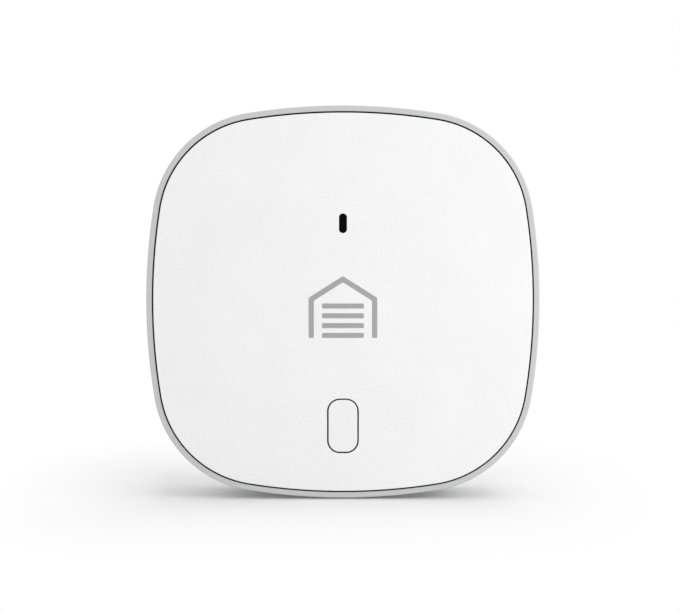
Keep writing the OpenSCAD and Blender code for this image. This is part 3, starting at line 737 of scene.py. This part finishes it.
class CONTROLLER_OT_button(Operator):
    """Models the setup button with its flange and stem, a black ring of painted shade in the gap round it,
    and finishes the switch under it
    """

    bl_idname = "controller.button"
    bl_label = "Setup button"

    def execute(self, context):
        sizes = context.scene.hub_sizes
        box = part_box("setup_button")
        low, high = box
        rest, thick, stem = mm(0.1, 1, 1.6)
        flange = SEAL_Y + rest
        foot = flange + thick
        cap = front_block("press_cap", box, sizes.button_flange, FACE_Y, foot, corner=sizes.button_round,
                          edge=sizes.button_edge, ends=(True, False))
        weld(cap, front_block("cap_flange", box, 0, flange, foot, corner=sizes.button_round))
        weld(cap, add_pin("cap_stem", 0, (low.z + high.z) / 2, stem, flange + thick / 2, high.y, BORE_SIDES))
        dress(cap, "button_texture", "button", "button_white", "setup_button")
        # Black ring of painted shade that darkens the gap round the button.
        dress(self.dust_ring(sizes, box, flange), "seal_rubber", "button", "seal_black")
        paint("black_moulding", "switch_base", "switch_plunger")
        paint("tinned_steel", "switch_cover", "switch_legs")
        self.snap_dome()
        return {"FINISHED"}

    def dust_ring(self, sizes, box, flange):
        """Black ring that stands on the flange in the gap round the cap, painted shade that darkens the gap.
        """
        fit, soft = mm(0.02, 0.04)
        reach = sizes.ring_width + fit
        top = FACE_Y + sizes.ring_depth
        ring = front_block("button_ring", box, sizes.button_flange - reach, top, flange,
                           corner=sizes.button_round + reach, edge=soft, ends=(True, False))
        return cut(ring, front_block("ring_cut", box, sizes.button_flange - fit, top - PAST, flange + PAST,
                                     corner=sizes.button_round + fit))

    def snap_dome(self):
        """Thin dome in the switch, under the plunger."""
        low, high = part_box("switch_dome")
        foot, rise, thick = high.x, high.y - low.y, 0.15 * MM
        radius = (foot * foot + rise * rise) / (2 * rise)
        centre = Vector((0, low.y + radius, (low.z + high.z) / 2))
        dome = add_shape("snap_dome", bpy.ops.mesh.primitive_uv_sphere_add, segments=DOME_SIDES,
                         ring_count=2 * DOME_SIDES, radius=radius, location=centre,
                         rotation=(math.pi / 2, 0, 0))
        edit_all()
        bpy.ops.mesh.bisect(plane_co=(0, high.y, 0), plane_no=(0, 1, 0), clear_outer=True)
        close(dome)
        modify(dome, "SOLIDIFY", thickness=thick)
        dress(dome, "spring_steel", "hub", "switch_steel", "switch_dome")
        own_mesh(dome)


class CONTROLLER_OT_status_light(Operator):
    """Models the dark status lens and finishes the light pipe, shroud and lamps behind it"""

    bl_idname = "controller.status_light"
    bl_label = "Status light"

    def execute(self, context):
        sizes = context.scene.hub_sizes
        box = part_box("status_window")
        gap, lap, soft = mm(0.03, 0.1, 0.04)
        trim = sizes.lens_flange + gap
        lens = front_block("status_lens", box, trim, box[0].y, SEAL_Y + lap, corner=slot_round(box, trim),
                           edge=soft, ends=(True, False))
        weld(lens, front_block("lens_flange", box, 0, SEAL_Y, box[1].y, corner=sizes.lens_flange))
        dress(lens, "lens_black", "hub", "window_black", "status_window")
        surface("clear_pipe", moulded_grain, 900, [(0.93, 0.95, 0.96), (0.97, 0.98, 0.98)], (0.05, 0.16),
                0.003, Transmission_Weight=1.0, IOR=1.49)
        paint("clear_pipe", "light_pipe")
        paint("black_moulding", "light_shroud")
        paint("lamp_body", "status_leds")
        return {"FINISHED"}


class CONTROLLER_OT_seal(Operator):
    """Models the rubber seal under the face, whose near-black lip stands in the gap as painted shade that
    darkens the gap line
    """

    bl_idname = "controller.seal"
    bl_label = "Seal"

    def execute(self, context):
        sizes = context.scene.hub_sizes
        snug, short, soft = mm(0.05, 0.1, 0.1)
        outer, lip = sizes.rim_width + snug, FACE_IN - snug
        inner = sizes.wall + sizes.ledge - short
        top = RIM_Y + sizes.seal_lip
        seal = spin_outline("gap_seal", soften([
            (outer, LEDGE_Y, 0), (outer, top, soft), (lip, top, soft), (lip, SEAL_Y, 0),
            (inner, SEAL_Y, soft), (inner, LEDGE_Y, soft)]))
        dress(seal, "seal_rubber", "hub", "seal_black", "face_seal")
        return {"FINISHED"}


class CONTROLLER_OT_back_shell(Operator):
    """Models the back shell with its rolled edge, bracket pocket, screw wells, slots and label recess"""

    bl_idname = "controller.back_shell"
    bl_label = "Back shell"

    def execute(self, context):
        sizes = context.scene.hub_sizes
        shell = self.shell(sizes)
        self.pocket(shell, context.scene.bracket_sizes, sizes.wall / 2)
        self.screw_wells(shell, sizes)
        self.slots_and_label(shell, sizes)
        dress(shell, "cover_texture", "hub", "cover_white", "rear_cover")
        return {"FINISHED"}

    def roll(self, radius, first, last):
        """Points of the rolled edge between two angles from the back, at a radius about its middle."""
        steps = [first + (last - first) * i / ROLL_STEPS for i in range(ROLL_STEPS + 1)]
        return [(ROLL - radius * math.sin(a), SEAM_Y + radius * math.cos(a)) for a in steps]

    def shell(self, sizes):
        """Wall that rolls from the seam to the flat back, with the lip that centres it in the rim."""
        lip_in, lip, rise, soft = sizes.wall + 0.1 * MM, 1.4 * MM, 1.8 * MM, 0.3 * MM
        inner = ROLL - sizes.wall
        lip_back, lip_top = lip_in + lip, SEAM_Y - rise
        seam_turn = math.acos(sizes.seam / ROLL)
        lip_turn = math.asin((ROLL - lip_back) / inner)
        section = [(FLAT_IN, BACK_Y)] + self.roll(ROLL, 0, seam_turn) + [(sizes.seam, SEAM_Y)]
        section += soften([(lip_in, SEAM_Y, 0), (lip_in, lip_top, soft), (lip_back, lip_top, soft),
                           (lip_back, SEAM_Y, 0)])
        section += self.roll(inner, lip_turn, 0) + [(FLAT_IN, BACK_Y - sizes.wall)]
        return spin_outline("back_shell", section, closed=False)

    def pocket(self, shell, sizes, inset):
        """Pocket that the bracket's flanges slide up in, open at the foot; its block ends inside the wall."""
        low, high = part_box("bracket_plate")
        fit, wall, mouth = sizes.fit, sizes.pocket_wall, 0.25 * MM
        floor = low.y - fit
        stop = high.z + 0.05 * MM
        below = -2 * PAST
        edge = self.roll(ROLL - inset, 0, math.pi / 2)
        block = spin_outline("pocket_block", [(FLAT_IN, BACK_Y - inset), *edge, (FLAT_IN, SEAM_Y)],
                             closed=False)
        keep = add_block("pocket_keep", (low.x - fit - wall, floor - wall, -PAST),
                         (high.x + fit + wall, BACK_Y + PAST, stop + wall))
        weld(shell, combine(block, keep, "INTERSECT"))
        neck = high.x - sizes.reach + fit
        lips = low.y + sizes.flange + fit
        opening = add_block("neck_cut", (-neck, floor, below),
                            (neck, BACK_Y - mouth, high.z - sizes.reach + fit))
        cut(shell, flare(opening, "y", 1, mouth))
        cut(shell, add_block("flange_cut", (low.x - fit, floor, below), (high.x + fit, lips, stop)))
        half, tall, notch, soft = mm(4.3, 2.1, 1, 0.4)
        bump = low.z + LATCH_UP
        cut(shell, add_block("latch_cut", (-half, floor - notch, bump - tall), (half, lips, bump + tall),
                             corner=soft))

    def screw_wells(self, shell, sizes):
        """Towers that meet those behind the face, with wells for the screw heads."""
        well, deep, mouth, shank = mm(2.9, 2.4, 0.2, 1.7)
        for x, z in at_corners(SCREW_PLACE, SCREW_PLACE):
            weld(shell, add_pin("tower", x, z, sizes.tower, JOINT_Y, BACK_Y - sizes.wall / 2))
            cut(shell, flare(add_pin("well", x, z, well, BACK_Y - deep, BACK_Y - mouth), "y", 1, mouth))
            cut(shell, add_pin("shank", x, z, shank, JOINT_Y - PAST, BACK_Y))

    def slots_and_label(self, shell, sizes):
        """Sounder slots in the rolled top edge, a bare label recess, and room in the lip for the port."""
        slots = 9
        pitch, slot_half, slot_end, edge = mm(2.8, 0.6, 0.57, 2.6)
        for i in range(slots):
            x = (i - (slots - 1) / 2) * pitch
            cut(shell, add_block("slot", (x - slot_half, SEAM_Y + edge, TOP - ROLL),
                                 (x + slot_half, BACK_Y - edge, TOP + PAST), "z", slot_end))
        half, up, down, deep, mouth, soft = mm(17, 5.5, 19, 0.3, 0.1, 1.5)
        label = add_block("label_cut", (mouth - half, BACK_Y - deep, TOP - down - up + mouth),
                          (half - mouth, BACK_Y - mouth, TOP - down + up - mouth), corner=soft)
        cut(shell, flare(label, "y", 1, mouth))
        side, deep, reach = sizes.port_width / 2 + 1.9 * MM, 3 * MM, 5 * MM
        cut(shell, add_block("lip_cut", (-HALF, SEAM_Y - deep, MIDDLE - side),
                             (reach - HALF, SEAM_Y, MIDDLE + side)))


class CONTROLLER_OT_screws(Operator):
    """Models one rear screw with its cross and thread, copies it, and finishes the board screws"""

    bl_idname = "controller.screws"
    bl_label = "Screws"

    def execute(self, context):
        low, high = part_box("rear_screws")
        neck = high.y - 1.9 * MM
        crown = 0.5 * MM
        x, z = -SCREW_PLACE, MIDDLE - SCREW_PLACE
        screw = add_pin("back_screws", x, z, SCREW_HEAD, neck, high.y)
        round_edges(screw, crown, EDGE_STEPS, lambda middle, run: abs(middle.y - high.y) < TINY)
        arm, wide, deep, out, spread = mm(1.5, 0.4, 1.2, 0.4, 0.12)
        for across, up in ((arm, wide), (wide, arm)):
            cross = add_block("cross", (x - across, high.y - deep, z - up), (x + across, high.y, z + up))
            cut(screw, extrude_end(cross, "y", 1, out, spread))
        weld(screw, self.thread(x, z, neck, low.y))
        span = 2 * SCREW_PLACE
        join(screw, [copy_to(screw, right * span, up * span) for right, up in ((1, 0), (0, 1), (1, 1))])
        dress(screw, "zinc_plate", "hub", "screw_steel", "rear_screws")
        paint("zinc_plate", "board_screws")
        return {"FINISHED"}

    def thread(self, x, z, neck, end):
        """Shank with ridges for the thread and a blunt tip."""
        root, ridge, pitch, collar, lap, tip = mm(1.05, 0.33, 1.1, 0.6, 0.3, 1)
        flank, crest, valley, taper = 0.3 * pitch, 0.12 * pitch, 0.28 * pitch, 0.6 * root
        shank = add_pin("shank", x, z, root, neck - collar, neck + lap, SHANK_SIDES)
        for _ in range(round((neck - end) / pitch) - 2):
            for distance, grow in ((flank, ridge), (crest, 0), (flank, -ridge), (valley, 0)):
                extrude_end(shank, "y", -1, distance, grow)
        return extrude_end(shank, "y", -1, tip, -taper)


class CONTROLLER_OT_bracket(Operator):
    """Models the wall bracket with its flanges, screw holes and latch tongue"""

    bl_idname = "controller.bracket"
    bl_label = "Wall bracket"

    def execute(self, context):
        sizes = context.scene.bracket_sizes
        dress(self.plate(sizes), "bracket_texture", "bracket", "bracket_white", "bracket_plate")
        dress(self.tongue(sizes), "bracket_texture", "bracket", "bracket_white", "latch_tongue")
        return {"FINISHED"}

    def plate(self, sizes):
        """Flange plate and neck, with countersunk holes and a slot round the tongue."""
        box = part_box("bracket_plate")
        low, high = box
        neck = low.y + sizes.flange
        plate = front_block("wall_bracket", box, 0, low.y, neck, corner=sizes.corner, edge=sizes.edge)
        weld(plate, front_block("neck", box, sizes.reach, neck - sizes.flange / 2, high.y,
                                corner=sizes.corner - sizes.reach, edge=sizes.edge, ends=(False, True)))
        hole, sink, pitch, height = 2.1 * MM, 1.9 * MM, 30 * MM, MIDDLE + 4 * MM
        for x in (-pitch / 2, pitch / 2):
            cutter = add_pin("hole", x, height, hole, low.y + sink, high.y + PAST)
            cut(plate, flare(cutter, "y", -1, sink))
        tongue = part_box("latch_tongue")[1]
        side, below, soft = tongue.x + sizes.tongue_slot, 5 * MM, 0.8 * MM
        return cut(plate, add_block("tongue_cut", (-side, low.y - PAST, low.z - below),
                                    (side, high.y + PAST, tongue.z), corner=soft))

    def tongue(self, sizes):
        """Springy tongue with its latch bump and three ridges for a thumb."""
        low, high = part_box("latch_tongue")
        corner, soft = mm(0.8, 0.2)
        front = high.y - sizes.tongue
        tongue = add_block("latch_spring", (low.x, front, low.z), high, corner=corner, edge=soft)
        half, base, top, step, lap = mm(4, 1.8, 0.5, 0.05, 0.6)
        middle = low.z + LATCH_UP
        bump = add_block("bump", (-half, front - step, middle - base), (half, front + lap, middle + base))
        extrude_end(bump, "y", -1, front - step - low.y)
        pick(bump, "FACE", lambda centre, normal: normal.y < -0.9)
        bpy.ops.transform.resize(value=(1, 1, top / base), center_override=(0, low.y, middle))
        close(bump)
        round_edges(bump, soft, EDGE_STEPS, lambda centre, run: abs(centre.y - low.y) < TINY)
        weld(tongue, bump)
        ridges, pitch, rise, edge = 3, 1.2 * MM, 0.35 * MM, 0.12 * MM
        for i in range(ridges):
            foot = low.z + (i + 0.5) * pitch
            weld(tongue, add_block("ridge", (-half, front - rise, foot),
                                   (half, front + rise, foot + pitch / 2), edge=edge, ends=(True, False)))
        return tongue


# Inner pieces

class CONTROLLER_OT_boards(Operator):
    """Finishes the circuit board, the radio board and the chips on them"""

    bl_idname = "controller.boards"
    bl_label = "Boards and chips"

    def execute(self, context):
        self.solder_mask(context.scene.finishes.board)
        paint("solder_mask", "circuit_board", "radio_board")
        paint("tinned_steel", "radio_shield", "processor_leads", "crystal_can")
        paint("gold_plate", "antenna_strip")
        paint("chip_resin", "processor_chip", "memory_chip", "chip_resistors", "regulator_chip")
        paint("ceramic", "chip_capacitors")
        return {"FINISHED"}

    def solder_mask(self, colour):
        """Lacquered board with copper tracks under the lacquer and a grid of plated holes."""
        tree = finish("solder_mask").node_tree
        shader = tree.nodes["Principled BSDF"]
        lacquer = shader.inputs["Base Color"].links[0].from_socket
        brighter, hole_size = 2.2, 0.12
        copper = (*[min(1, c * brighter) for c in colour], 1)
        gold, black, white = (0.72, 0.5, 0.2, 1), (0, 0, 0, 1), (1, 1, 1, 1)
        flat = add_node(tree, "Mapping", place_on(tree), Rotation=(math.pi / 2, 0, 0))[0]
        tracks = add_node(tree, "TexBrick", flat, Scale=320.0, Mortar_Size=0.035, Color1=black, Color2=black,
                          Mortar=white)[0]
        holes = add_node(tree, "TexVoronoi", flat, Scale=260.0, Randomness=0.35)[0]
        plated = add_node(tree, "Math", holes, hole_size, operation="LESS_THAN")[0]
        coated = mix_colours(tree, tracks, lacquer, copper)
        feed(tree, shader, Base_Color=mix_colours(tree, plated, coated, gold), Metallic=plated)


class CONTROLLER_OT_power(Operator):
    """Finishes the power socket, capacitors and coil"""

    bl_idname = "controller.power"
    bl_label = "Power socket and supply"

    def execute(self, context):
        paint("tinned_steel", "socket_shell")
        paint("gold_plate", "socket_contacts")
        paint("black_moulding", "socket_tongue", "capacitor_bases")
        paint("drawn_aluminium", "capacitor_cans")
        paint("coil_ferrite", "coil_body")
        return {"FINISHED"}


class CONTROLLER_OT_sounder(Operator):
    """Finishes the sounder's case and its brass disc"""

    bl_idname = "controller.sounder"
    bl_label = "Sounder"

    def execute(self, context):
        paint("black_moulding", "buzzer_case")
        paint("disc_brass", "buzzer_disc")
        return {"FINISHED"}


class CONTROLLER_OT_stage(Operator):
    """Sets up the pale floor, the soft light and the camera"""

    bl_idname = "controller.stage"
    bl_label = "Stage"

    def execute(self, context):
        settings = context.scene.stage_settings
        context.scene.view_settings.view_transform = "Standard"
        self.floor(settings)
        self.lights(settings)
        self.world(settings)
        self.camera(settings)
        return {"FINISHED"}

    def floor(self, settings):
        """Pale floor that keeps the hub's shadow; a painted glow lifts it near the hub, and a painted soft
        shadow round the hub fades to the white background.
        """
        floor = add_shape("floor", bpy.ops.mesh.primitive_plane_add, size=settings.floor_size,
                          location=(0, 0, -settings.floor_drop))
        material = finish("floor_white")
        tree = material.node_tree
        plain = tree.nodes["Principled BSDF"].outputs[0]
        # The lift is a painted glow that makes the floor and its shadows paler to the camera.
        lift = add_node(tree, "Emission", Strength=settings.lift)[0]
        white = add_node(tree, "Emission", Strength=1.0)[0]
        near = add_node(tree, "AddShader", plain, lift)[0]
        seen = add_node(tree, "MixShader", self.fade(tree, settings), near, white)[0]
        both = add_node(tree, "MixShader", self.background_rays(tree), plain, seen)[0]
        feed(tree, tree.nodes["Material Output"], both)
        floor.data.materials.append(material)

    def fade(self, tree, settings):
        """Socket that goes from 0 round the hub to 1 where the floor is white; where it is below 1 the floor
        is darker, a painted soft shadow round the hub.
        """
        sideways, curve = 1.8, 0.6
        place = place_on(tree)
        for operation, value in (
                ("ADD", (settings.fade_left, 0, 0)), ("ABSOLUTE", None),
                ("SUBTRACT", (settings.fade_side, settings.fade_front, 0)), ("MAXIMUM", (0, 0, 0)),
                ("MULTIPLY", (sideways, 1, 0))):
            place = add_node(tree, "VectorMath", place, value, operation=operation)[0]
        away = add_node(tree, "VectorMath", place, operation="LENGTH")["Value"]
        even = add_node(tree, "MapRange", away, From_Max=settings.fade_width)[0]
        return add_node(tree, "Math", even, curve, operation="POWER")[0]

    def background_rays(self, tree):
        """Socket that is 1 for rays which see the background as the camera does."""
        rays = add_node(tree, "LightPath")
        some = add_node(tree, "Math", rays["Is Camera Ray"], rays["Is Glossy Ray"], operation="MAXIMUM")[0]
        return add_node(tree, "Math", some, rays["Is Transmission Ray"], operation="MAXIMUM")[0]

    def lights(self, settings):
        """One soft light, from the front right."""
        target, place = Vector((0, 0, MIDDLE)), Vector((0.29, -0.16, 0.15))
        bpy.ops.object.light_add(type="AREA", location=place)
        light = bpy.context.object
        light.name = "key"
        light.rotation_euler = (target - place).to_track_quat("-Z", "Y").to_euler()
        light.data.size = 0.2
        light.data.energy = settings.key
        light.visible_camera = False

    def world(self, settings):
        """Even white light all round, which is the background too."""
        world = bpy.data.worlds.new("studio")
        bpy.context.scene.world = world
        world.use_nodes = True
        tree = world.node_tree
        feed(tree, tree.nodes["Background"], (1, 1, 1, 1), settings.fill)

    def camera(self, settings):
        """Camera in front of the rim and a little above its middle."""
        tilt = settings.elevation
        aim = Vector((-settings.aim_left, RIM_Y, MIDDLE - settings.aim_low))
        place = aim + settings.distance * Vector((0, -math.cos(tilt), math.sin(tilt)))
        bpy.ops.object.camera_add(location=place, rotation=(math.pi / 2 - tilt, 0, 0))
        camera = bpy.context.object
        camera.data.lens = settings.lens
        camera.data.clip_start = 0.01
        bpy.context.scene.camera = camera


OPERATORS = (
    CONTROLLER_OT_stage, CONTROLLER_OT_rim, CONTROLLER_OT_face, CONTROLLER_OT_print, CONTROLLER_OT_button,
    CONTROLLER_OT_status_light, CONTROLLER_OT_seal, CONTROLLER_OT_back_shell, CONTROLLER_OT_screws,
    CONTROLLER_OT_bracket, CONTROLLER_OT_boards, CONTROLLER_OT_power, CONTROLLER_OT_sounder)
SETTINGS = {"hub_sizes": HubSizes, "bracket_sizes": BracketSizes, "finishes": Finishes,
            "stage_settings": StageSettings}


class CONTROLLER_PT_panel(Panel):
    """Sidebar panel that lists the steps in order"""

    bl_idname = "CONTROLLER_PT_panel"
    bl_label = "Garage Door Controller"
    bl_space_type = "VIEW_3D"
    bl_region_type = "UI"
    bl_category = "Controller"

    def draw(self, context):
        for operator in OPERATORS:
            self.layout.operator(operator.bl_idname)
        for name in SETTINGS:
            box = self.layout.box()
            group = getattr(context.scene, name)
            for key in group.bl_rna.properties.keys():
                if key not in ("rna_type", "name"):
                    box.prop(group, key)


def register():
    for group in SETTINGS.values():
        bpy.utils.register_class(group)
    for name, group in SETTINGS.items():
        setattr(bpy.types.Scene, name, PointerProperty(type=group))
    for each in (*OPERATORS, CONTROLLER_PT_panel):
        bpy.utils.register_class(each)


def unregister():
    for each in (CONTROLLER_PT_panel, *reversed(OPERATORS)):
        bpy.utils.unregister_class(each)
    for name in SETTINGS:
        delattr(bpy.types.Scene, name)
    for group in SETTINGS.values():
        bpy.utils.unregister_class(group)


def main():
    """Makes every piece in order."""
    register()
    bpy.ops.controller.stage()
    bpy.ops.controller.rim()
    bpy.ops.controller.face()
    bpy.ops.controller.print()
    bpy.ops.controller.button()
    bpy.ops.controller.status_light()
    bpy.ops.controller.seal()
    bpy.ops.controller.back_shell()
    bpy.ops.controller.screws()
    bpy.ops.controller.bracket()
    bpy.ops.controller.boards()
    bpy.ops.controller.power()
    bpy.ops.controller.sounder()


if __name__ == "__main__":
    main()
